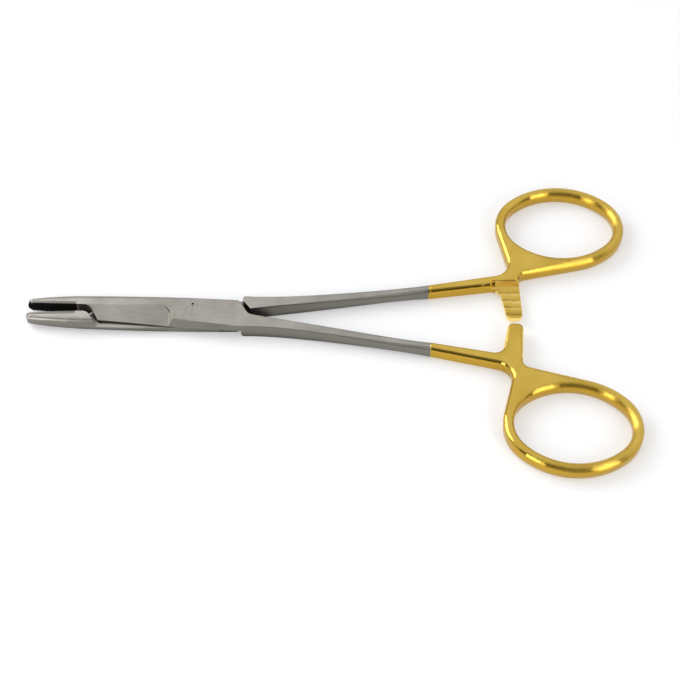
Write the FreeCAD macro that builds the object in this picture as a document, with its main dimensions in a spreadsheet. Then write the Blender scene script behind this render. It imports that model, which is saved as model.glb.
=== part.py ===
import FreeCAD, Part
import math
import os
import re
import Sketcher

# Scissor-type needle holder: two identical forgings turned half a turn about their length
# and joined by a screw lap, with a hard insert brazed into each jaw.
# Each arm is drawn closed, with the screw axis at the origin, its jaw along -X on the +Y side,
# its finger ring along +X on the -Y side, and the lap face in the plane z = 0.

dims = {
    # joint and blade
    "half_open": 1.95,
    "joint_half": 1.9,
    "lap_gap": 0.04,
    "shoulder_lean": 34,
    "toe_x": 23.95,
    "toe_clearance": 0.55,
    "heel_x": 12.65,
    "heel_clearance": 0.7,
    "toe_radius": 1.2,
    "heel_radius": 1.8,
    "shoulder_round": 1.2,
    "lap_low": 4.08,
    "blade_low": 3.66,
    "flank_x": 5,
    "flank_y": 2.82,
    "flank_long": 14,
    "flank_wide": 1.24,
    "flank_turn": 4.4,
    "lap_spine": 3.7,
    "blade_spine": 3.72,
    "lap_round": 0.4,
    "blade_round": 1.1,
    "blade_x": 12,
    "bevel_angle": 18.5,
    "bevel_skew": 3,
    "bevel_top": 0.85,
    "bevel_end": 6.4,
    "bevel_radius": 2.4,
    "bevel_flare": 40,
    # jaws
    "jaw_length": 38.5,
    "tip_half": 1.3,
    "tip_spine": 1.7,
    "tip_round": 1.0,
    "mid_x": 31,
    "mid_half": 1.72,
    "mid_spine": 2.8,
    "mid_round": 1.3,
    "base_x": 24,
    "base_spine": 3.35,
    "base_round": 1.5,
    "base_low": 3.4,
    "grip_tip": 0.02,
    "grip_base": 0.12,
    "nose_radius": 1.8,
    # hard inserts
    "insert_length": 11.4,
    "insert_thick": 0.75,
    "braze_gap": 0.01,
    "groove_pitch": 0.6,
    "groove_deep": 0.22,
    "groove_count": 18,
    # shank
    "root_x": 13.7,
    "root_inner": 0.45,
    "root_outer": 3.9,
    "root_edge": 0.04,
    "root_round": 0.2,
    "shank_a_x": 20,
    "shank_a_y": 2.62,
    "shank_a_wide": 2.75,
    "shank_a_half": 1.85,
    "shank_b_x": 28,
    "shank_b_y": 3.38,
    "shank_b_wide": 2.35,
    "shank_b_half": 1.7,
    "shank_b_round": 0.3,
    "shank_c_x": 40,
    "shank_c_y": 4.8,
    "shank_c_wide": 2.25,
    "shank_c_half": 1.48,
    "shank_c_round": 0.6,
    # finger ring, web and ratchet bar
    "plate_x": 55,
    "plate_y": 6.65,
    "plate_wide": 2.35,
    "plate_half": 1.85,
    "plate_round": 1.05,
    "socket": 0.3,
    "outer_slope": 10.2,
    "inner_slope": 7.7,
    "ring_x": 86.8,
    "ring_y": 26.2,
    "hole_long": 12.95,
    "hole_short": 10.13,
    "hole_end_radius": 8.3,
    "band": 2.45,
    "neck_lean": 11,
    "neck_radius": 3.8,
    "brow_slope": 12.7,
    "crook_radius": 1.8,
    "armpit_radius": 2.2,
    "ratchet_left": 72.35,
    "ratchet_right": 76.1,
    "ratchet_left_lean": 8,
    "ratchet_right_lean": 1,
    "ratchet_tip": 1.27,
    "ratchet_corner": 1.3,
    "ratchet_step": 8.6,
    "tooth_pitch": 2.2,
    "tooth_depth": 0.6,
    "tooth_count": 4,
    "tooth_gap": 0.08,
    # joint screw
    "thread_radius": 1.55,
    "head_radius": 2.45,
    "head_recess": 0.08,
    "head_rim": 0.3,
    "screw_fit": 0.03,
    "slot_wide": 0.5,
    "slot_deep": 0.45,
    "end_slot_wide": 0.16,
    "end_slot_deep": 0.1,
    "stake_y": 1.6,
    "stake_radius": 0.3,
    "stake_deep": 0.28,
}

doc = FreeCAD.newDocument("NeedleHolder")
sheet = doc.addObject("Spreadsheet::Sheet", "Dims")
for row, (alias, size) in enumerate(dims.items(), start=1):
    sheet.set(f"A{row}", alias)
    sheet.set(f"B{row}", str(size))
    sheet.setAlias(f"B{row}", alias)
doc.recompute()


def bound(text):
    """Expression text with each size's name led by the sheet's name."""
    def lead(word):
        return "Dims." + word.group() if word.group() in dims else word.group()
    return re.sub(r"[a-z_]\w*", lead, text)


def number(text):
    """Present value of an expression, worked out in a spare cell of the sheet."""
    sheet.set("D1", "=" + bound(text))
    sheet.recompute()
    return float(sheet.get("D1"))


def plane(body, role):
    return [item for item in body.Origin.OriginFeatures if item.Role == role][0]


def newSketch(body, name, role, shift=("0", "0", "0")):
    """Sketch on an origin plane of its body, moved along that plane's own axes."""
    sketch = body.newObject("Sketcher::SketchObject", name)
    sketch.AttachmentSupport = [(plane(body, role), "")]
    sketch.MapMode = "FlatFace"
    for axis, text in zip("xyz", shift):
        if text != "0":
            sketch.setExpression("AttachmentOffset.Base." + axis, bound(text))
    return sketch


def dimension(sketch, kind, where, text, name):
    """Constraint whose value is an expression of the sizes."""
    value = number(text)
    if kind == "Angle":
        value = math.radians(value)
    index = sketch.addConstraint(Sketcher.Constraint(kind, *where, value))
    sketch.renameConstraint(index, name)
    sketch.setExpression("Constraints." + name, bound(text))


def pin(sketch, edge, end, x, y, name):
    """Hold an end (1, 2) or a centre (3) of an edge at x, y."""
    for kind, text, axis in (("DistanceX", x, -2), ("DistanceY", y, -1)):
        if abs(number(text)) < 1e-9:
            sketch.addConstraint(Sketcher.Constraint("PointOnObject", edge, end, axis))
        else:
            dimension(sketch, kind, (-1, 1, edge, end), text, name + kind[-1].lower())


def arcThrough(start, end, radius, turn):
    """Arc under half a circle from start to end, turning left (1) or right (-1)."""
    half = (end - start) / 2
    rise = math.sqrt(max(radius ** 2 - half.Length ** 2, 0))
    side = FreeCAD.Vector(-half.y, half.x, 0).normalize() * rise * turn
    centre = start + half + side
    first, last = (start, end) if turn > 0 else (end, start)
    angles = [math.atan2(p.y - centre.y, p.x - centre.x) for p in (first, last)]
    if angles[1] < angles[0]:
        angles[1] += 2 * math.pi
    circle = Part.Circle(centre, FreeCAD.Vector(0, 0, 1), radius)
    return Part.ArcOfCircle(circle, *angles)


def closedProfile(sketch, corners):
    """Loop of lines and arcs. A corner is x, y and, where an arc leaves it, radius and turn."""
    points = [FreeCAD.Vector(number(c[0]), number(c[1]), 0) for c in corners]
    first = sketch.GeometryCount
    ends = []
    for i, corner in enumerate(corners):
        here, there = points[i], points[(i + 1) % len(points)]
        if len(corner) == 2:
            sketch.addGeometry(Part.LineSegment(here, there))
            ends.append((1, 2))
        else:
            sketch.addGeometry(arcThrough(here, there, number(corner[2]), corner[3]))
            ends.append((1, 2) if corner[3] > 0 else (2, 1))
    for i, corner in enumerate(corners):
        after = (i + 1) % len(corners)
        sketch.addConstraint(Sketcher.Constraint(
            "Coincident", first + i, ends[i][1], first + after, ends[after][0]))
        pin(sketch, first + i, ends[i][0], corner[0], corner[1], f"p{first + i}")
        if len(corner) > 2:
            dimension(sketch, "Radius", (first + i,), corner[2], f"r{first + i}")
    return sketch


def pocket(body, name, sketch, depth, upward=False, bothWays=False):
    cut = body.newObject("PartDesign::Pocket", name)
    cut.Profile = sketch
    cut.Type = "Length"
    cut.setExpression("Length", bound(depth))
    cut.Reversed = upward
    if bothWays:
        cut.SideType = "Symmetric"
    return cut


def loft(body, name, sections):
    piece = body.newObject("PartDesign::AdditiveLoft", name)
    piece.Profile = sections[0]
    piece.Sections = sections[1:]
    return piece


def backedSection(body, name, x, half, spine, low, corner):
    """Forging's section across the jaw or lap: square on the low side, rounded at the back."""
    return closedProfile(newSketch(body, name, "YZ_Plane", ("0", "0", x)), [
        (f"-{low}", f"-{half}"),
        (f"{spine} - {corner}", f"-{half}", corner, 1),
        (spine, f"-{half} + {corner}"),
        (spine, f"{half} - {corner}", corner, 1),
        (f"{spine} - {corner}", half),
        (f"-{low}", half),
    ])


def barSection(body, name, x, middle, wide, half, corner):
    """Shank's section: a bar with four rounded edges."""
    left, right = f"-{middle} - {wide} / 2", f"-{middle} + {wide} / 2"
    return closedProfile(newSketch(body, name, "YZ_Plane", ("0", "0", x)), [
        (f"{left} + {corner}", f"-{half}"),
        (f"{right} - {corner}", f"-{half}", corner, 1),
        (right, f"-{half} + {corner}"),
        (right, f"{half} - {corner}", corner, 1),
        (f"{right} - {corner}", half),
        (f"{left} + {corner}", half, corner, 1),
        (left, f"{half} - {corner}"),
        (left, f"-{half} + {corner}", corner, 1),
    ])


def jawStock(body):
    """Tapered, round-backed bar from the tip to the blade, before its grip side is cut."""
    return loft(body, "JawStock", [
        backedSection(body, "TipSection", "-jaw_length", "tip_half", "tip_spine",
                      "base_low", "tip_round"),
        backedSection(body, "MidSection", "-mid_x", "mid_half", "mid_spine",
                      "base_low", "mid_round"),
        backedSection(body, "BaseSection", "-base_x", "joint_half", "base_spine",
                      "base_low", "base_round"),
    ])


def jointStock(body):
    """Flat-faced bar from the jaw's base to the shank's root."""
    return loft(body, "JointStock", [
        backedSection(body, "ToeSection", "-base_x", "joint_half", "base_spine",
                      "base_low", "base_round"),
        backedSection(body, "BladeSection", "-blade_x", "joint_half", "blade_spine",
                      "blade_low", "blade_round"),
        backedSection(body, "LapSection", "0", "joint_half", "lap_spine",
                      "lap_low", "lap_round"),
        backedSection(body, "HeelSection", "root_x", "joint_half", "lap_spine",
                      "root_outer", "lap_round"),
    ])


def shank(body):
    """Bar that thins and rounds off from the lap to the gilt handle, which it runs into."""
    return loft(body, "Shank", [
        barSection(body, "RootBar", "root_x", "(root_outer + root_inner) / 2",
                   "(root_outer - root_inner)", "joint_half", "root_edge"),
        barSection(body, "ShankBarA", "shank_a_x", "shank_a_y", "shank_a_wide",
                   "shank_a_half", "root_round"),
        barSection(body, "ShankBarB", "shank_b_x", "shank_b_y", "shank_b_wide",
                   "shank_b_half", "shank_b_round"),
        barSection(body, "ShankBarC", "shank_c_x", "shank_c_y", "shank_c_wide",
                   "shank_c_half", "shank_c_round"),
        barSection(body, "HandleBar", "plate_x + socket",
                   "(plate_y + socket * tan((outer_slope + inner_slope) / 2))",
                   "(plate_wide - 0.06)", "(plate_half - 0.03)", "(plate_round - 0.03)"),
    ])


def handlePlate(body):
    """Finger ring, web and ratchet bar drawn as one outline, with every edge rounded."""
    size = {name: number(name) for name in dims}
    vector = FreeCAD.Vector
    centre = vector(size["ring_x"], -size["ring_y"], 0)
    long, short, end = size["hole_long"], size["hole_short"], size["hole_end_radius"]
    side = (long ** 2 + short ** 2 - 2 * long * end) / (2 * (short - end))
    sideText = ("(hole_long ^ 2 + hole_short ^ 2 - 2 * hole_long * hole_end_radius)"
                " / (2 * (hole_short - hole_end_radius))")
    ends = [centre - vector(long - end, 0, 0), centre + vector(long - end, 0, 0)]
    sides = [centre + vector(0, side - short, 0), centre - vector(0, side - short, 0)]

    def along(angle):
        return vector(math.cos(math.radians(angle)), math.sin(math.radians(angle)), 0)

    def cross(p, u, q, v):
        return p + u * ((q - p).cross(v).z / u.cross(v).z)

    def rounded(p, u, q, v, radius):
        """Tangent points of an arc that rounds the corner of two lines, p along u, q along v."""
        corner = cross(p, u, q, v)
        back = radius * math.tan(math.acos(max(-1, min(1, u.dot(v)))) / 2)
        return corner - u * back, corner + v * back

    band = size["band"]
    outerEnd, outerSide = end + band, side + band
    start = vector(size["plate_x"], -size["plate_y"] - size["plate_wide"] / 2, 0)
    finish = start + vector(0, size["plate_wide"], 0)
    uOuter = along(-size["outer_slope"])
    uNeck = along(-90 - size["neck_lean"])
    neckFoot = ends[0] + along(180 - size["neck_lean"]) * outerEnd
    browFoot = sides[1] + along(90 - size["brow_slope"]) * outerSide
    uBrow = along(180 - size["brow_slope"])
    uRight = along(90 - size["ratchet_right_lean"])
    uLeft = along(-90 - size["ratchet_left_lean"])
    right = vector(size["ratchet_right"], 0, 0)
    left = vector(size["ratchet_left"], 0, 0)
    tip = vector(0, size["ratchet_tip"], 0)
    uTip = along(180)
    uInner = along(180 - size["inner_slope"])
    neck = rounded(start, uOuter, neckFoot, uNeck, size["neck_radius"])
    crook = rounded(browFoot, uBrow, right, uRight, size["crook_radius"])
    tipRight = rounded(right, uRight, tip, uTip, size["ratchet_corner"])
    tipLeft = rounded(tip, uTip, left, uLeft, size["ratchet_corner"])
    armpit = rounded(left, uLeft, finish, uInner, size["armpit_radius"])
    farLeft = sides[0] + (ends[0] - sides[0]).normalize() * outerSide
    farRight = sides[0] + (ends[1] - sides[0]).normalize() * outerSide
    nearRight = sides[1] + (ends[1] - sides[1]).normalize() * outerSide

    sketch = newSketch(body, "HandleOutline", "XY_Plane")
    pieces = [
        Part.LineSegment(finish, start),
        Part.LineSegment(start, neck[0]),
        arcThrough(neck[0], neck[1], size["neck_radius"], -1),
        Part.LineSegment(neck[1], neckFoot),
        arcThrough(neckFoot, farLeft, outerEnd, 1),
        arcThrough(farLeft, farRight, outerSide, 1),
        arcThrough(farRight, nearRight, outerEnd, 1),
        arcThrough(nearRight, browFoot, outerSide, 1),
        Part.LineSegment(browFoot, crook[0]),
        arcThrough(crook[0], crook[1], size["crook_radius"], -1),
        Part.LineSegment(crook[1], tipRight[0]),
        arcThrough(tipRight[0], tipRight[1], size["ratchet_corner"], 1),
        Part.LineSegment(tipRight[1], tipLeft[0]),
        arcThrough(tipLeft[0], tipLeft[1], size["ratchet_corner"], 1),
        Part.LineSegment(tipLeft[1], armpit[0]),
        arcThrough(armpit[0], armpit[1], size["armpit_radius"], -1),
        Part.LineSegment(armpit[1], finish),
    ]
    clockwise = {2, 9, 15}
    for piece in pieces:
        sketch.addGeometry(piece)
    last = len(pieces) - 1
    for i in range(len(pieces)):
        after = 0 if i == last else i + 1
        out = 1 if i in clockwise else 2
        into = 2 if after in clockwise else 1
        kind = "Coincident" if i in (0, last) else "Tangent"
        sketch.addConstraint(Sketcher.Constraint(kind, i, out, after, into))
    pin(sketch, 0, 1, "plate_x", "-plate_y + plate_wide / 2", "finish")
    pin(sketch, 0, 2, "plate_x", "-plate_y - plate_wide / 2", "start")
    dimension(sketch, "Angle", (1,), "-outer_slope", "outerSlope")
    dimension(sketch, "Angle", (3,), "-90 - neck_lean", "neckLean")
    dimension(sketch, "Angle", (8,), "180 - brow_slope", "browSlope")
    dimension(sketch, "Angle", (10,), "90 - ratchet_right_lean", "rightLean")
    dimension(sketch, "Angle", (14,), "-90 - ratchet_left_lean", "leftLean")
    dimension(sketch, "Angle", (16,), "180 - inner_slope", "innerSlope")
    sketch.addConstraint(Sketcher.Constraint("Horizontal", 12))
    for edge, text in ((2, "neck_radius"), (9, "crook_radius"), (11, "ratchet_corner"),
                       (13, "ratchet_corner"), (15, "armpit_radius"),
                       (4, "hole_end_radius + band"), (6, "hole_end_radius + band"),
                       (5, sideText + " + band"), (7, sideText + " + band")):
        dimension(sketch, "Radius", (edge,), text, f"radius{edge}")
    pin(sketch, 4, 3, "ring_x - hole_long + hole_end_radius", "-ring_y", "leftCentre")
    pin(sketch, 6, 3, "ring_x + hole_long - hole_end_radius", "-ring_y", "rightCentre")
    dimension(sketch, "DistanceX", (-1, 1, 7, 3), "ring_x", "browCentre")
    dimension(sketch, "DistanceY", (-1, 1, 12, 1), "ratchet_tip", "tipPlace")

    count = len(pieces)
    innerLeft = [sides[i] + (ends[0] - sides[i]).normalize() * side for i in (0, 1)]
    innerRight = [sides[i] + (ends[1] - sides[i]).normalize() * side for i in (0, 1)]
    for piece in (arcThrough(innerLeft[1], innerLeft[0], end, 1),
                  arcThrough(innerLeft[0], innerRight[0], side, 1),
                  arcThrough(innerRight[0], innerRight[1], end, 1),
                  arcThrough(innerRight[1], innerLeft[1], side, 1)):
        sketch.addGeometry(piece)
    for i in range(4):
        sketch.addConstraint(Sketcher.Constraint(
            "Tangent", count + i, 2, count + (i + 1) % 4, 1))
    pin(sketch, count, 3, "ring_x - hole_long + hole_end_radius", "-ring_y", "holeLeft")
    pin(sketch, count + 2, 3, "ring_x + hole_long - hole_end_radius", "-ring_y", "holeRight")
    for edge, text in ((0, "hole_end_radius"), (1, sideText), (2, "hole_end_radius"),
                       (3, sideText)):
        dimension(sketch, "Radius", (count + edge,), text, f"holeRadius{edge}")
    # the ratchet bar's two sides cross the long axis at these places
    for i, (edge, alias) in enumerate(((10, "ratchet_right"), (14, "ratchet_left"))):
        mark = sketch.addGeometry(Part.Point(vector(size[alias], 0, 0)), True)
        sketch.addConstraint(Sketcher.Constraint("PointOnObject", mark, 1, -1))
        sketch.addConstraint(Sketcher.Constraint("PointOnObject", mark, 1, edge))
        dimension(sketch, "DistanceX", (-1, 1, mark, 1), alias, f"crossing{i}")

    pad = body.newObject("PartDesign::Pad", "HandlePlate")
    pad.Profile = sketch
    pad.Type = "Length"
    pad.SideType = "Symmetric"
    pad.setExpression("Length", bound("2 * plate_half"))
    doc.recompute()
    rims = []
    for i, edge in enumerate(pad.Shape.Edges, start=1):
        flat = edge.BoundBox.ZLength < 1e-6
        onEnd = edge.BoundBox.XMax < size["plate_x"] + 1e-6
        if flat and not onEnd:
            rims.append(f"Edge{i}")
    fillet = body.newObject("PartDesign::Fillet", "HandleRound")
    fillet.Base = (pad, rims)
    fillet.setExpression("Radius", bound("plate_round"))
    return fillet


def gripCut(body):
    """Clears the grip side of the jaw down to the toe shoulder at the blade's end."""
    slope = "tan(shoulder_lean)"
    sketch = newSketch(body, "GripOutline", "XY_Plane")
    closedProfile(sketch, [
        ("-jaw_length - 1", "grip_tip"),
        ("-jaw_length - 1", "-base_low - 3"),
        (f"-toe_x + (base_low + 3) * {slope}", "-base_low - 3"),
        (f"-toe_x + toe_radius * {slope}", "-toe_radius", "toe_radius * 1.6", 1),
        ("-toe_x - toe_radius * 0.75", "grip_base"),
    ])
    return pocket(body, "GripCut", sketch, "2 * joint_half + 2", bothWays=True)


def heelCut(body):
    """Frees the lap's upper corner in front of the other arm's heel shoulder."""
    slope = "tan(shoulder_lean)"
    sketch = newSketch(body, "HeelOutline", "XY_Plane")
    closedProfile(sketch, [
        (f"heel_x - (lap_spine + 2) * {slope}", "lap_spine + 2"),
        (f"heel_x - 0.55 * {slope}", "0.55", "heel_radius", 1),
        ("root_x", "-root_inner"),
        ("root_x + 0.4", "-root_inner"),
        ("root_x + 0.4", "lap_spine + 2"),
    ])
    return pocket(body, "HeelCut", sketch, "2 * joint_half + 2", bothWays=True)


def lapCut(body):
    """Takes away the rear half between the toe and heel shoulders: lap face and blade face."""
    slope = "tan(shoulder_lean)"
    toe = "-toe_x - toe_clearance / cos(shoulder_lean)"
    heel = "heel_x + heel_clearance / cos(shoulder_lean)"
    corner = f"{heel} - root_outer * {slope}"
    sketch = newSketch(body, "LapOutline", "XY_Plane", ("0", "0", "lap_gap / 2"))
    closedProfile(sketch, [
        (f"{toe} - toe_radius * 0.75", "-base_low - 3"),
        (f"{corner} + shoulder_round", "-base_low - 3"),
        (f"{corner} + shoulder_round", "-root_outer - 0.1", "shoulder_round * 0.6", -1),
        (f"{corner} + shoulder_round * sin(shoulder_lean)",
         "-root_outer + shoulder_round * cos(shoulder_lean)"),
        (f"{heel} - 0.7 * {slope}", "-0.7", "heel_radius", -1),
        ("root_x", "0"),
        ("root_x", "lap_spine + 2"),
        (f"{toe} + (lap_spine + 2) * {slope}", "lap_spine + 2"),
        (f"{toe} + toe_radius * {slope}", "toe_radius", "toe_radius * 1.6", -1),
        (f"{toe} - toe_radius * 0.75", "grip_base"),
    ])
    return pocket(body, "LapCut", sketch, "joint_half + 1")


def bevelCut(body):
    """Ground bevel that sharpens the blade, ending in the wheel's curved run-out."""
    sketch = body.newObject("Sketcher::SketchObject", "BevelOutline")
    sketch.AttachmentSupport = [(plane(body, "XY_Plane"), "")]
    sketch.MapMode = "FlatFace"
    turn = FreeCAD.Rotation(FreeCAD.Vector(0, 0, 1), number("bevel_skew"))
    tilt = FreeCAD.Rotation(FreeCAD.Vector(1, 0, 0), number("bevel_angle"))
    place = FreeCAD.Vector(-number("blade_x"), number("bevel_top"), number("joint_half"))
    sketch.AttachmentOffset = FreeCAD.Placement(place, turn.multiply(tilt))
    closedProfile(sketch, [
        ("blade_x - base_x - 4", "0"),
        ("blade_x - base_x - 4", "-8"),
        ("bevel_end", "-8"),
        ("bevel_end", "-bevel_radius", "bevel_radius", 1),
        ("bevel_end - bevel_radius", "0"),
    ])
    cut = pocket(body, "BevelCut", sketch, "3", upward=True)
    cut.setExpression("TaperAngle", bound("bevel_flare"))
    return cut


def flankCut(body):
    """Slanted facet down the lap's low side that starts at the bevel's run-out and tapers off."""
    sketch = body.newObject("Sketcher::SketchObject", "FlankProfile")
    sketch.AttachmentSupport = [(plane(body, "YZ_Plane"), "")]
    sketch.MapMode = "FlatFace"
    place = FreeCAD.Vector(-number("flank_y"), number("joint_half"), -number("flank_x"))
    turn = FreeCAD.Rotation(FreeCAD.Vector(0, 1, 0), -number("flank_turn"))
    sketch.AttachmentOffset = FreeCAD.Placement(place, turn)
    for axis, text in zip("xyz", ("-flank_y", "joint_half", "-flank_x")):
        sketch.setExpression("AttachmentOffset.Base." + axis, bound(text))
    slope = "flank_wide / joint_half"
    closedProfile(sketch, [
        (f"0.5 * {slope}", "0.5"),
        ("-4", "0.5"),
        ("-4", "-joint_half - 0.5"),
        (f"-(joint_half + 0.5) * {slope}", "-joint_half - 0.5"),
    ])
    return pocket(body, "FlankCut", sketch, "flank_long", upward=True)


def seatCut(body):
    """Recess for the hard insert along the grip."""
    end = "insert_length - jaw_length"
    sketch = newSketch(body, "SeatOutline", "XY_Plane")
    closedProfile(sketch, [
        ("-jaw_length - 1", "-1"),
        (f"{end} + braze_gap", "-1"),
        (f"{end} + braze_gap", "insert_thick + grip_tip + braze_gap"),
        ("-jaw_length - 1", "insert_thick + grip_tip + braze_gap"),
    ])
    return pocket(body, "SeatCut", sketch, "2 * joint_half + 2", bothWays=True)


def noseCuts(body):
    """Rounds the tip, seen from above and from the side."""
    top = closedProfile(newSketch(body, "NosePlan", "XY_Plane"), [
        ("-jaw_length", "tip_spine - nose_radius", "nose_radius", -1),
        ("-jaw_length + nose_radius", "tip_spine + 0.35"),
        ("-jaw_length + nose_radius", "tip_spine + 1.5"),
        ("-jaw_length - 1", "tip_spine + 1.5"),
        ("-jaw_length - 1", "tip_spine - nose_radius"),
    ])
    pocket(body, "NosePlanCut", top, "2 * joint_half + 2", bothWays=True)
    for name, sign in (("NoseUpper", ""), ("NoseLower", "-")):
        turn = -1 if sign == "" else 1
        side = closedProfile(newSketch(body, name, "XZ_Plane"), [
            ("-jaw_length", f"{sign}0.15", "tip_half - 0.1", turn),
            ("-jaw_length + tip_half", f"{sign}(tip_half + 0.08)"),
            ("-jaw_length + tip_half", f"{sign}(tip_half + 1)"),
            ("-jaw_length - 1", f"{sign}(tip_half + 1)"),
            ("-jaw_length - 1", f"{sign}0.15"),
        ])
        pocket(body, name + "Cut", side, "2 * tip_spine + 8", bothWays=True)


def ratchetCuts(body):
    """Halves the ratchet bar and cuts its saw teeth."""
    sketch = newSketch(body, "RatchetHalf", "XY_Plane", ("0", "0", "tooth_gap / 2"))
    closedProfile(sketch, [
        ("ratchet_left - 3", "-ratchet_step"),
        ("ratchet_right + 1.2", "-ratchet_step"),
        ("ratchet_right + 1.2", "ratchet_tip + 1"),
        ("ratchet_left - 3", "ratchet_tip + 1"),
    ])
    pocket(body, "RatchetHalfCut", sketch, "plate_half + 1")
    tooth = newSketch(body, "ToothProfile", "YZ_Plane", ("0", "0", "ratchet_left - 3"))
    closedProfile(tooth, [
        ("ratchet_tip - 0.9", "tooth_gap / 2 - 0.2"),
        ("ratchet_tip - 0.9", "tooth_gap / 2 + tooth_depth"),
        ("ratchet_tip - 0.9 - tooth_pitch", "tooth_gap / 2"),
        ("ratchet_tip - 0.9 - tooth_pitch", "tooth_gap / 2 - 0.2"),
    ])
    cut = pocket(body, "ToothCut", tooth, "ratchet_right - ratchet_left + 6", upward=True)
    doc.recompute()
    pattern = body.newObject("PartDesign::LinearPattern", "Teeth")
    pattern.Originals = [cut]
    pattern.Direction = (tooth, ["H_Axis"])
    pattern.Reversed = True
    pattern.setExpression("Length", bound("tooth_pitch * (tooth_count - 1)"))
    pattern.setExpression("Occurrences", bound("tooth_count"))
    body.Tip = pattern
    return pattern


def roundCut(body, name, z, radius, depth, upward):
    """Round hole about the screw axis."""
    sketch = newSketch(body, name, "XY_Plane", ("0", "0", z))
    circle = Part.Circle(FreeCAD.Vector(0, 0, 0), FreeCAD.Vector(0, 0, 1), number(radius))
    sketch.addGeometry(circle)
    sketch.addConstraint(Sketcher.Constraint("Coincident", 0, 3, -1, 1))
    dimension(sketch, "Radius", (0,), radius, "radius")
    return pocket(body, name + "Cut", sketch, depth, upward=upward)


def arm(label):
    """One forging: jaw, blade, lap, shank, ring and ratchet bar."""
    body = doc.addObject("PartDesign::Body", label)
    body.Label = label
    handlePlate(body)
    shank(body)
    jointStock(body)
    jawStock(body)
    gripCut(body)
    heelCut(body)
    lapCut(body)
    seatCut(body)
    noseCuts(body)
    bevelCut(body)
    flankCut(body)
    ratchetCuts(body)
    return body


def stakeCut(body):
    """Punched dimple at the screw's edge that locks it in the front arm."""
    sketch = newSketch(body, "Stake", "YZ_Plane", ("stake_y", "0", "0"))
    closedProfile(sketch, [
        ("0", "joint_half - stake_deep"),
        ("stake_radius", "joint_half"),
        ("stake_radius", "joint_half + 0.2"),
        ("0", "joint_half + 0.2"),
    ])
    cut = body.newObject("PartDesign::Groove", "StakeCut")
    cut.Profile = sketch
    cut.ReferenceAxis = (sketch, ["V_Axis"])
    cut.Angle = 360
    return cut


def frontArm():
    body = arm("front_arm")
    roundCut(body, "ThreadHole", "joint_half + 1", "thread_radius", "joint_half + 2", False)
    stakeCut(body)
    return body


def rearArm():
    body = arm("rear_arm")
    roundCut(body, "ShaftHole", "joint_half + 1", "thread_radius + screw_fit",
             "joint_half + 2", False)
    sketch = newSketch(body, "HeadSeat", "XZ_Plane")
    rise = "head_radius - thread_radius"
    closedProfile(sketch, [
        ("0", f"joint_half - head_recess - head_rim - ({rise}) - screw_fit"),
        ("thread_radius + screw_fit",
         f"joint_half - head_recess - head_rim - ({rise}) - screw_fit"),
        ("head_radius + screw_fit", "joint_half - head_recess - head_rim - screw_fit"),
        ("head_radius + screw_fit", "joint_half + 0.5"),
        ("0", "joint_half + 0.5"),
    ])
    cut = body.newObject("PartDesign::Groove", "HeadSeatCut")
    cut.Profile = sketch
    cut.ReferenceAxis = (sketch, ["V_Axis"])
    cut.Angle = 360
    return body


def gripGrooves(body):
    """Crossed V grooves that leave rows of small pyramids on the grip face."""
    count = int(number("groove_count"))
    crest, start = "grip_tip - 0.03", "-groove_pitch * groove_count / 2"
    teeth = [("grip_tip - 0.4", f"-({start})"), ("grip_tip - 0.4", start), (crest, start)]
    for i in range(count):
        teeth.append(("grip_tip + groove_deep", f"{start} + groove_pitch * {i + 0.5}"))
        teeth.append((crest, f"{start} + groove_pitch * {i + 1}"))
    for name, turn in (("Fore", 45), ("Aft", -45)):
        sketch = body.newObject("Sketcher::SketchObject", name + "Grooves")
        sketch.AttachmentSupport = [(plane(body, "YZ_Plane"), "")]
        sketch.MapMode = "FlatFace"
        sketch.AttachmentOffset = FreeCAD.Placement(
            FreeCAD.Vector(0, 0, 0), FreeCAD.Rotation(FreeCAD.Vector(1, 0, 0), turn))
        sketch.setExpression("AttachmentOffset.Base.z", bound("insert_length / 2 - jaw_length"))
        closedProfile(sketch, teeth)
        pocket(body, name + "GrooveCut", sketch, "8 * joint_half", bothWays=True)


def jawInsert(label):
    """Hard metal facing of one jaw, cut from the same section as the jaw around it."""
    body = doc.addObject("PartDesign::Body", label)
    body.Label = label
    jawStock(body)
    sketch = newSketch(body, "BackOutline", "XY_Plane")
    end = "insert_length - jaw_length"
    closedProfile(sketch, [
        ("-jaw_length - 1", "insert_thick + grip_tip"),
        (end, "insert_thick + grip_tip"),
        (end, "-base_low - 1"),
        ("-base_x + 1", "-base_low - 1"),
        ("-base_x + 1", "base_spine + 1"),
        ("-jaw_length - 1", "base_spine + 1"),
    ])
    pocket(body, "BackCut", sketch, "2 * joint_half + 2", bothWays=True)
    gripCut(body)
    noseCuts(body)
    gripGrooves(body)
    return body


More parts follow.
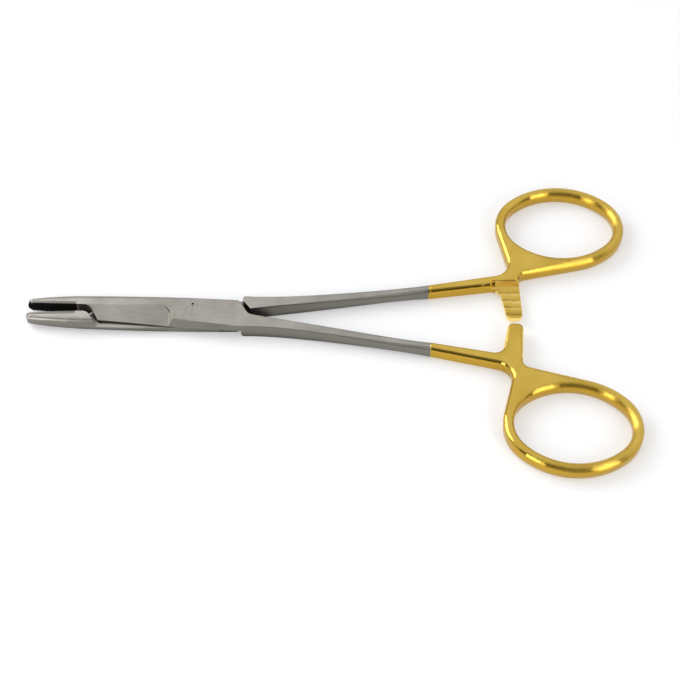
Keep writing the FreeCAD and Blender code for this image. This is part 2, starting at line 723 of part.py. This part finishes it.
def jointScrew():
    """Countersunk slotted screw: head in the rear arm, end flush in the front arm."""
    body = doc.addObject("PartDesign::Body", "joint_screw")
    body.Label = "joint_screw"
    rise = "head_radius - thread_radius"
    sketch = newSketch(body, "ScrewProfile", "XZ_Plane")
    closedProfile(sketch, [
        ("0", "-joint_half + head_recess"),
        ("head_radius", "-joint_half + head_recess"),
        ("head_radius", "-joint_half + head_recess + head_rim"),
        ("thread_radius - 0.01", f"-joint_half + head_recess + head_rim + {rise} + 0.01"),
        ("thread_radius - 0.01", "joint_half - 0.01"),
        ("0", "joint_half - 0.01"),
    ])
    turned = body.newObject("PartDesign::Revolution", "ScrewTurned")
    turned.Profile = sketch
    turned.ReferenceAxis = (sketch, ["V_Axis"])
    turned.Angle = 360
    slot = newSketch(body, "SlotOutline", "XY_Plane", ("0", "0", "-joint_half - 0.5"))
    closedProfile(slot, [
        ("-head_radius - 1", "-slot_wide / 2"),
        ("head_radius + 1", "-slot_wide / 2"),
        ("head_radius + 1", "slot_wide / 2"),
        ("-head_radius - 1", "slot_wide / 2"),
    ])
    pocket(body, "SlotCut", slot, "0.5 + head_recess + slot_deep", upward=True)
    endSlot = newSketch(body, "EndSlotOutline", "XY_Plane", ("0", "0", "joint_half"))
    closedProfile(endSlot, [
        ("-end_slot_wide / 2", "-thread_radius - 1"),
        ("end_slot_wide / 2", "-thread_radius - 1"),
        ("end_slot_wide / 2", "thread_radius + 1"),
        ("-end_slot_wide / 2", "thread_radius + 1"),
    ])
    pocket(body, "EndSlotCut", endSlot, "end_slot_deep + 0.01")
    stakeCut(body)
    return body


def placed(piece, turned):
    """Set a piece at rest: half the opening to its own side, on the plane of the back face."""
    half = math.radians(number("half_open")) / 2
    lift = FreeCAD.Vector(0, 0, number("joint_half"))
    if turned:
        spin = FreeCAD.Rotation(FreeCAD.Vector(math.cos(half), math.sin(half), 0), 180)
    else:
        spin = FreeCAD.Rotation(FreeCAD.Vector(0, 0, 1), -number("half_open"))
    piece.Placement = FreeCAD.Placement(lift, spin)
    piece.setExpression("Placement.Base.z", bound("joint_half"))
    return piece


pieces = [
    placed(frontArm(), False),
    placed(rearArm(), True),
    placed(jawInsert("front_jaw_insert"), False),
    placed(jawInsert("rear_jaw_insert"), True),
    placed(jointScrew(), False),
]
doc.recompute()

for item in doc.Objects:
    if "Invalid" in item.State or "Error" in item.State:
        raise RuntimeError(f"{item.Label} did not build: {item.State}")
for piece in pieces:
    if piece.Shape.isNull() or not piece.Shape.isValid() or len(piece.Shape.Solids) != 1:
        raise RuntimeError(f"{piece.Label} is not one sound solid")

os.makedirs("parts", exist_ok=True)
for piece in pieces:
    piece.Shape.exportStep(f"parts/{piece.Label}.step")
    box = piece.Shape.BoundBox
    print(piece.Label, "volume", round(piece.Shape.Volume, 2),
          "size", round(box.XLength, 2), round(box.YLength, 2), round(box.ZLength, 2))
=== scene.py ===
import math
import bpy
from mathutils import Matrix, Vector

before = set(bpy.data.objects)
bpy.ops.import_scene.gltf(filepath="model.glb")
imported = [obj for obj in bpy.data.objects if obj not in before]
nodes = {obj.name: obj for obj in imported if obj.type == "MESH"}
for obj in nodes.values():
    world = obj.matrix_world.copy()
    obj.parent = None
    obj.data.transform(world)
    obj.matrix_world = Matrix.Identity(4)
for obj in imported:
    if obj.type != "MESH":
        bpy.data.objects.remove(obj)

bpy.context.view_layer.update()
mm = 0.001


def linearColour(hexText):
    # sRGB hex to the linear colour that a shader wants
    parts = [int(hexText[i:i + 2], 16) / 255 for i in (1, 3, 5)]
    linear = [p / 12.92 if p <= 0.04045 else ((p + 0.055) / 1.055) ** 2.4 for p in parts]
    return (*linear, 1.0)


def addNode(tree, kind, settings=None, links=None):
    # one node; settings name its properties or input sockets, links name its input sockets
    node = tree.nodes.new(kind)
    for name, value in (settings or {}).items():
        if isinstance(name, str) and hasattr(node, name):
            setattr(node, name, value)
        else:
            node.inputs[name].default_value = value
    for name, source in (links or {}).items():
        tree.links.new(source, node.inputs[name])
    return node


def newMaterial(name):
    material = bpy.data.materials.new(name)
    material.use_nodes = True
    material.node_tree.nodes.clear()
    return material, material.node_tree


def dress(piece, material):
    piece.data.materials.clear()
    piece.data.materials.append(material)


# A noise keeps mostly to this middle part of 0 to 1
noiseMiddle = {"From Min": 0.28, "From Max": 0.72}


def coated(tree, base, coats):
    # coats of colour over a base colour; each one covers where its mask is 0
    under = {}
    for colour, mask in coats:
        coat = addNode(tree, "ShaderNodeMix",
                       {"data_type": "RGBA", 6: linearColour(colour), 7: linearColour(base)},
                       {0: mask, **under})
        under = {7: coat.outputs[2]}
    return coat.outputs[2]


def flatness(tree, place, tilts):
    # 0 on the sides, 1 on faces that look to the front or the back
    sideTilt, flatTilt = tilts
    tilt = addNode(tree, "ShaderNodeSeparateXYZ", links={"Vector": place.outputs["Normal"]})
    facing = addNode(tree, "ShaderNodeMath", {"operation": "ABSOLUTE"}, {0: tilt.outputs["Z"]})
    return addNode(tree, "ShaderNodeMapRange", {"From Min": sideTilt, "From Max": flatTilt},
                   {"Value": facing.outputs["Value"]}).outputs["Result"]


def insideBox(tree, axes, box):
    # 1 where each coordinate lies within its half width of its middle
    product = None
    for axis, (middle, half) in zip("XYZ", box):
        near = addNode(tree, "ShaderNodeMath", {"operation": "COMPARE", 1: middle, 2: half},
                       {0: axes.outputs[axis]}).outputs["Value"]
        product = near if product is None else addNode(
            tree, "ShaderNodeMath", {"operation": "MULTIPLY"},
            {0: product, 1: near}).outputs["Value"]
    return product


# Both arms are one stainless forging each: satin where it was brushed lengthwise, with painted
# shade round its sides, and bright gold plate over the hand-polished handle, from a line round
# the shank.
arm = {
    "openDeg": 1.95,  # each arm's turn at rest
    "frontGold": 55.0 * mm,
    "rearGold": 54.6 * mm,
    "goldEdge": 0.15 * mm,
    "steelColour": "#B9B4AA",
    "steelDark": "#9E9A92",
    # the two side colours below are painted shade, laid on faces that look sideways
    "sideShade": "#827F77",
    "goldColour": "#E5C25C",
    "goldDark": "#D5B04A",
    "goldSideShade": "#C7A03A",
    "sideTilts": (0.35, 1.0),
    # what the low and the high parts of a noise give
    "steelTone": (-0.4, 1.4),
    "goldTone": (0.0, 1.0),
    "steelRough": (0.31, 0.41),
    "goldRough": (0.03, 0.07),
    "grindHeight": (0.0, 0.0035 * mm),
    "waveHeight": (0.0, 0.05 * mm),
    # the real grinding lines are finer, and are drawn this coarse to show
    "grindPitch": 0.16 * mm,
    "grindLength": 2.6 * mm,
    "cloudSize": 7 * mm,
    "waveSize": 3.6 * mm,
    "steelRounding": 0.10 * mm,
    "shankRounding": 0.55 * mm,
    "ringRounding": 2.6 * mm,
    "ringStart": 72.0 * mm,
    "ringFull": 86.0 * mm,
    # a zone is the middle and half width along each axis
    "toothZone": ((73.7 * mm, 3.4 * mm), (0.0, 8.8 * mm), (1.9 * mm, 1.7 * mm)),
    "toothRough": 0.45,
    "toothRounding": 0.12 * mm,
    "toothPitch": 2.2 * mm,
    "lastCrest": 8.6 * mm,
    "crestWander": 1.6 * mm,
    "rootFade": (0.1 * mm, 0.8 * mm),
    "crestFade": (1.9 * mm, 1.2 * mm),
    # painted light on the ratchet teeth: shade in the roots, highlights on the crests and on the
    # wall beside them
    "toothRootShade": "#A5822F",
    "toothCrestHighlight": "#EECF74",
    "toothWallHighlight": "#FFE690",
    # painted shade: a near-black colour laid where ambient occlusion finds narrow gaps, and in
    # the zones round the joint and the punch mark
    "creviceShade": "#211D18",
    "shadeReach": 3.4 * mm,
    "shadeFade": (0.15, 0.50),
    "heelZone": ((23.0 * mm, 17.0 * mm), (0.0, 12.0 * mm), (1.9 * mm, 4.0 * mm)),
    "toeZone": ((-16.0 * mm, 10.5 * mm), (0.0, 12.0 * mm), (1.9 * mm, 4.0 * mm)),
    "jointShade": 0.24,
    "punchMark": ((-0.2 * mm, 0.26 * mm), (1.8 * mm, 0.26 * mm), (3.8 * mm, 0.1 * mm)),
    "punchShade": 1.0,
}


def paintedShadeMask(tree, axes):
    # 0 where shade is painted: near black in the narrow gaps that ambient occlusion finds, and
    #                           darker in the heel and toe zones round the joint and in the punch
    #                           mark
    opened = addNode(tree, "ShaderNodeAmbientOcclusion",
                     {"samples": 8, "Distance": arm["shadeReach"]}).outputs["AO"]
    for zone, shadeAmount in (("heelZone", arm["jointShade"]), ("toeZone", arm["jointShade"]),
                       ("punchMark", arm["punchShade"])):
        opened = addNode(tree, "ShaderNodeMath", {"operation": "MULTIPLY_ADD", 1: -shadeAmount},
                         {0: insideBox(tree, axes, arm[zone]), 2: opened}).outputs["Value"]
    covered, bare = arm["shadeFade"]
    return addNode(tree, "ShaderNodeMapRange", {"From Min": covered, "From Max": bare},
                   {"Value": opened}).outputs["Result"]


def toothPaintedLight(tree, axes, teeth, wave, flat):
    # masks for the ratchet teeth's painted light: shade in the roots, highlights on the crests
    # and on the wall round them
    across = addNode(tree, "ShaderNodeMath", {"operation": "ABSOLUTE"}, {0: axes.outputs["Y"]})
    # a low noise moves the painted crest and root bands a little to and fro
    wear = addNode(tree, "ShaderNodeMath",
                   {"operation": "MULTIPLY_ADD", 1: arm["crestWander"],
                    2: -arm["lastCrest"] - arm["crestWander"] / 2},
                   {0: wave})
    shifted = addNode(tree, "ShaderNodeMath", {"operation": "ADD"},
                      {0: across.outputs["Value"], 1: wear.outputs["Value"]})
    # rises over each tooth, from its root to its crest
    ramp = addNode(tree, "ShaderNodeMath", {"operation": "WRAP", 1: arm["toothPitch"], 2: 0.0},
                   {0: shifted.outputs["Value"]})
    rootShade, crestHighlight = (addNode(tree, "ShaderNodeMapRange", {"From Min": covered, "From Max": bare},
                           {"Value": ramp.outputs["Value"]}).outputs["Result"]
                   for covered, bare in (arm["rootFade"], arm["crestFade"]))
    elsewhere = addNode(tree, "ShaderNodeMath", {"operation": "SUBTRACT", 0: 1.0}, {1: teeth})
    return [addNode(tree, "ShaderNodeMath", {"operation": "MAXIMUM"},
                    {0: mask, 1: elsewhere.outputs["Value"]}).outputs["Value"]
            for mask in (rootShade, crestHighlight, flat)]


def roundedEdges(tree, axes, plated, teeth):
    # buffing has rounded the handle's edges further than the steel's, most of all the ring
    buffed = addNode(tree, "ShaderNodeMapRange",
                     {"From Min": arm["ringStart"], "From Max": arm["ringFull"],
                      "To Min": arm["shankRounding"], "To Max": arm["ringRounding"]},
                     {"Value": axes.outputs["X"]})
    handle = addNode(tree, "ShaderNodeMix", {"data_type": "FLOAT", 3: arm["toothRounding"]},
                     {0: teeth, 2: buffed.outputs["Result"]})
    rounding = addNode(tree, "ShaderNodeMix", {"data_type": "FLOAT", 2: arm["steelRounding"]},
                       {0: plated, 3: handle.outputs[0]})
    return addNode(tree, "ShaderNodeBevel", {"samples": 6},
                   {"Radius": rounding.outputs[0]}).outputs["Normal"]


def armMetal(name, turnDeg, goldStart):
    material, tree = newMaterial(name)
    place = addNode(tree, "ShaderNodeTexCoord")
    # the patterns follow the arm, so its turn at rest is taken out
    turned = addNode(tree, "ShaderNodeMapping", {"Rotation": (0, 0, math.radians(turnDeg))},
                     {"Vector": place.outputs["Object"]}).outputs["Vector"]
    axes = addNode(tree, "ShaderNodeSeparateXYZ", links={"Vector": turned})
    flat = flatness(tree, place, arm["sideTilts"])
    teeth = insideBox(tree, axes, arm["toothZone"])
    # 0 on the steel, 1 on the gold plate
    plated = addNode(tree, "ShaderNodeMapRange",
                     {"From Min": goldStart - arm["goldEdge"],
                      "From Max": goldStart + arm["goldEdge"]},
                     {"Value": axes.outputs["X"]}).outputs["Result"]

    # grinding lines run along the arm, over the clouds of uneven brushing
    pitch, length = arm["grindPitch"], arm["grindLength"]
    lines = addNode(tree, "ShaderNodeMapping", {"Scale": (1 / length, 1 / pitch, 1 / pitch)},
                    {"Vector": turned})
    grind = addNode(tree, "ShaderNodeTexNoise",
                    {"Scale": 1.0, "Detail": 4.0, "Roughness": 0.65},
                    {"Vector": lines.outputs["Vector"]}).outputs["Fac"]
    cloud = addNode(tree, "ShaderNodeTexNoise", {"Scale": 1 / arm["cloudSize"], "Detail": 3.0},
                    {"Vector": turned}).outputs["Fac"]
    brushed = addNode(tree, "ShaderNodeMix", {"data_type": "FLOAT", 0: 0.5},
                      {2: grind, 3: cloud}).outputs[0]
    # low waves that the buffing wheel left under the plate
    wave = addNode(tree, "ShaderNodeTexNoise", {"Scale": 1 / arm["waveSize"], "Detail": 1.0},
                   {"Vector": turned}).outputs["Fac"]
    spread = {}
    for key, noise in (("steelTone", brushed), ("goldTone", cloud), ("steelRough", grind),
                       ("goldRough", grind), ("grindHeight", grind), ("waveHeight", wave)):
        low, high = arm[key]
        spread[key] = addNode(tree, "ShaderNodeMapRange",
                              {**noiseMiddle, "To Min": low, "To Max": high},
                              {"Value": noise}).outputs["Result"]

    # painted shade on the steel: darker on the sides, and near black in the gaps round the joint
    # and in the punch mark
    steel = coated(tree, arm["steelColour"], (
        (arm["steelDark"], spread["steelTone"]), (arm["sideShade"], flat),
        (arm["creviceShade"], paintedShadeMask(tree, axes))))
    # the gold has painted shade round the sides, darker than on the buffed flats, and the teeth
    # have painted shade in their roots and painted highlights on their crests and wall
    rootShade, crestHighlight, wallHighlight = toothPaintedLight(tree, axes, teeth, wave, flat)
    gold = coated(tree, arm["goldColour"], (
        (arm["goldDark"], spread["goldTone"]), (arm["goldSideShade"], flat),
        (arm["toothRootShade"], rootShade), (arm["toothCrestHighlight"], crestHighlight), (arm["toothWallHighlight"], wallHighlight)))
    colour = addNode(tree, "ShaderNodeMix", {"data_type": "RGBA"},
                     {0: plated, 6: steel, 7: gold})
    handleRough = addNode(tree, "ShaderNodeMix", {"data_type": "FLOAT", 3: arm["toothRough"]},
                          {0: teeth, 2: spread["goldRough"]})
    rough = addNode(tree, "ShaderNodeMix", {"data_type": "FLOAT"},
                    {0: plated, 2: spread["steelRough"], 3: handleRough.outputs[0]})
    height = addNode(tree, "ShaderNodeMix", {"data_type": "FLOAT"},
                     {0: plated, 2: spread["grindHeight"], 3: spread["waveHeight"]})
    bump = addNode(tree, "ShaderNodeBump", {"Distance": 1.0},
                   {"Height": height.outputs[0],
                    "Normal": roundedEdges(tree, axes, plated, teeth)})
    metal = addNode(tree, "ShaderNodeBsdfPrincipled", {"Metallic": 1.0},
                    {"Base Color": colour.outputs[2], "Roughness": rough.outputs[0],
                     "Normal": bump.outputs["Normal"]})
    addNode(tree, "ShaderNodeOutputMaterial", links={"Surface": metal.outputs["BSDF"]})
    return material


openDeg = arm["openDeg"]
dress(nodes["front_arm"], armMetal("front_steel_and_gold_plate", openDeg, arm["frontGold"]))
dress(nodes["rear_arm"], armMetal("rear_steel_and_gold_plate", -openDeg, arm["rearGold"]))
# the screw was ground flush with the lap, so it has the arm's steel
dress(nodes["joint_screw"], armMetal("screw_satin_steel", openDeg, arm["frontGold"]))
print("arms and screw done")

# Tungsten carbide facings: darker and more matt than the steel round them, with painted
# shade that makes the grip face nearly black. The real grain is finer, and is drawn this coarse
# to show.
insert = {
    "colour": "#85847D",
    "dark": "#6B6A64",
    # painted shade: near black on the grip face, which looks sideways
    "gripShade": "#1F1D1B",
    "gripShadeTilts": (0.85, 0.98),
    # painted shade: near black where ambient occlusion finds crevices
    "creviceShade": "#16130F",
    "shadeReach": 1.2 * mm,
    "shadeFade": (0.35, 0.85),
    "rough": 0.40,
    "grain": 0.12 * mm,
    "grainHeight": 0.004 * mm,
}


def carbide(name):
    material, tree = newMaterial(name)
    place = addNode(tree, "ShaderNodeTexCoord")
    grain = addNode(tree, "ShaderNodeTexNoise", {"Scale": 1 / insert["grain"], "Detail": 3.0},
                    {"Vector": place.outputs["Object"]}).outputs["Fac"]
    tone = addNode(tree, "ShaderNodeMapRange", noiseMiddle, {"Value": grain})
    # painted shade in the crevices that ambient occlusion finds
    opened = addNode(tree, "ShaderNodeAmbientOcclusion",
                     {"samples": 8, "Distance": insert["shadeReach"]})
    covered, bare = insert["shadeFade"]
    unshadedPart = addNode(tree, "ShaderNodeMapRange", {"From Min": covered, "From Max": bare},
                    {"Value": opened.outputs["AO"]})
    colour = coated(tree, insert["colour"], (
        (insert["dark"], tone.outputs["Result"]),
        (insert["gripShade"], flatness(tree, place, insert["gripShadeTilts"])),
        (insert["creviceShade"], unshadedPart.outputs["Result"])))
    bump = addNode(tree, "ShaderNodeBump", {"Distance": insert["grainHeight"]}, {"Height": grain})
    metal = addNode(tree, "ShaderNodeBsdfPrincipled",
                    {"Metallic": 1.0, "Roughness": insert["rough"]},
                    {"Base Color": colour, "Normal": bump.outputs["Normal"]})
    addNode(tree, "ShaderNodeOutputMaterial", links={"Surface": metal.outputs["BSDF"]})
    return material


carbideFacing = carbide("tungsten_carbide")
dress(nodes["front_jaw_insert"], carbideFacing)
dress(nodes["rear_jaw_insert"], carbideFacing)
print("jaw inserts done")

# A light tent over a white floor, open to a dark room on the camera's side. Two upright
# softboxes stand right and left of the camera, and the key one at the back left.
studio = {
    "floorColour": "#FFFFFF",
    "floorGlow": 0.34,
    "floorSize": 12.0,
    "lampTarget": (0.04, 0.0, 0.0),
    "keyPower": 2.3,
    "keyPlace": (-0.44, 0.24, 0.34),
    "keySize": (0.45, 0.45),
    "rightPower": 1.55,
    "rightPlace": (0.44, -0.41, 0.27),
    "rightSize": (0.28, 0.40),
    "leftPower": 1.2,
    "leftPlace": (-0.33, -0.44, 0.23),
    "leftSize": (0.20, 0.40),
    # pairs of height over the horizon, 0 to 1, and level of light
    "tent": ((0.0, 0.16), (0.2, 0.42), (0.42, 0.85), (1.0, 0.81)),
    "darkRoom": ((0.0, 0.05), (0.2, 0.04), (0.45, 0.09), (0.70, 0.18), (0.9, 0.28)),
    "tentTint": (0.985, 1.0, 1.03),
    # the dark room is a round part of the sky: its middle's elevation, radius and soft edge
    "darkElevationDeg": 8,
    "darkRadiusDeg": 70,
    "darkEdgeDeg": 6,
}


def backgroundRay(tree):
    # 1 where the camera, a mirror or glass looks at the background
    path = addNode(tree, "ShaderNodeLightPath")
    seen = path.outputs["Is Camera Ray"]
    for ray in ("Is Glossy Ray", "Is Transmission Ray"):
        seen = addNode(tree, "ShaderNodeMath", {"operation": "MAXIMUM"},
                       {0: seen, 1: path.outputs[ray]}).outputs["Value"]
    return seen


def makeFloor():
    bpy.ops.mesh.primitive_plane_add(size=studio["floorSize"])
    floor = bpy.context.object
    floor.name = "floor"
    # matt white paper: soft shadows and no shine
    material, tree = newMaterial("white_paper_floor")
    white = linearColour(studio["floorColour"])
    paper = addNode(tree, "ShaderNodeBsdfDiffuse", {"Color": white})
    glow = addNode(tree, "ShaderNodeEmission", {"Color": white, "Strength": 1.0})
    share = addNode(tree, "ShaderNodeMath", {"operation": "MULTIPLY", 1: studio["floorGlow"]},
                    {0: backgroundRay(tree)})
    mixed = addNode(tree, "ShaderNodeMixShader", links={
        0: share.outputs["Value"], 1: paper.outputs["BSDF"], 2: glow.outputs["Emission"]})
    addNode(tree, "ShaderNodeOutputMaterial", links={"Surface": mixed.outputs["Shader"]})
    dress(floor, material)


def softbox(side):
    data = bpy.data.lights.new(side + "_softbox", "AREA")
    data.energy = studio[side + "Power"]
    data.shape = "RECTANGLE"
    data.size, data.size_y = studio[side + "Size"]
    lamp = bpy.data.objects.new(data.name, data)
    bpy.context.scene.collection.objects.link(lamp)
    lamp.location = studio[side + "Place"]
    aim = Vector(studio["lampTarget"]) - lamp.location
    lamp.rotation_euler = aim.to_track_quat("-Z", "Y").to_euler()


def skyRamp(tree, height, stops):
    # grey by height over the horizon, with the tent cloth's faint tint
    ramp = addNode(tree, "ShaderNodeValToRGB", links={"Fac": height})
    elements = ramp.color_ramp.elements
    for i, (position, level) in enumerate(stops):
        stop = elements[i] if i < 2 else elements.new(position)
        stop.position = position
        stop.color = (*(level * tint for tint in studio["tentTint"]), 1.0)
    return ramp.outputs["Color"]


def makeWorld():
    world = bpy.data.worlds.new("tent_and_dark_room")
    bpy.context.scene.world = world
    world.use_nodes = True
    tree = world.node_tree
    tree.nodes.clear()
    direction = addNode(tree, "ShaderNodeTexCoord").outputs["Generated"]
    height = addNode(tree, "ShaderNodeSeparateXYZ", links={"Vector": direction}).outputs["Z"]
    rise, radius, edge = (math.radians(studio[name])
                          for name in ("darkElevationDeg", "darkRadiusDeg", "darkEdgeDeg"))
    facing = addNode(tree, "ShaderNodeVectorMath",
                     {"operation": "DOT_PRODUCT", 1: (0, -math.cos(rise), math.sin(rise))},
                     {0: direction})
    dark = addNode(tree, "ShaderNodeMapRange",
                   {"interpolation_type": "SMOOTHSTEP", "From Min": math.cos(radius + edge),
                    "From Max": math.cos(radius - edge)},
                   {"Value": facing.outputs["Value"]})
    sky = addNode(tree, "ShaderNodeMix", {"data_type": "RGBA"},
                  {0: dark.outputs["Result"], 6: skyRamp(tree, height, studio["tent"]),
                   7: skyRamp(tree, height, studio["darkRoom"])})
    light = addNode(tree, "ShaderNodeBackground", {"Strength": 1.0}, {"Color": sky.outputs[2]})
    addNode(tree, "ShaderNodeOutputWorld", links={"Surface": light.outputs["Background"]})


makeFloor()
for side in ("key", "right", "left"):
    softbox(side)
makeWorld()
print("studio done")

# The photograph's camera looks down at this elevation; its lens is given in pixels of the photo
shot = {
    "elevationDeg": 51.8826,
    "rollDeg": 1.7230,
    "distance": 0.366129,
    "target": (0.0339104, -0.0073539, 0.0019),
    "focalPixels": 1604.0,
    "imagePixels": 680,
    "sensorWidth": 36,
    "clipStart": 0.01,
}


def makeCamera():
    data = bpy.data.cameras.new("photoCamera")
    camera = bpy.data.objects.new("photoCamera", data)
    bpy.context.scene.collection.objects.link(camera)
    data.sensor_width = shot["sensorWidth"]
    data.lens = shot["focalPixels"] / shot["imagePixels"] * shot["sensorWidth"]
    data.clip_start = shot["clipStart"]
    spin = Matrix.Rotation(math.radians(shot["rollDeg"]), 3, "Z")
    x, y, z = shot["target"]
    target = spin @ Vector((x, y, 0)) + Vector((0, 0, z))
    tilt = math.radians(shot["elevationDeg"])
    forward = spin @ Vector((0, math.cos(tilt), -math.sin(tilt)))
    right = spin @ Vector((1, 0, 0))
    up = right.cross(forward)
    camera.location = target - forward * shot["distance"]
    camera.rotation_euler = Matrix((right, up, -forward)).transposed().to_euler()
    bpy.context.scene.camera = camera


makeCamera()
bpy.context.scene.view_settings.view_transform = "Standard"
print("camera done")
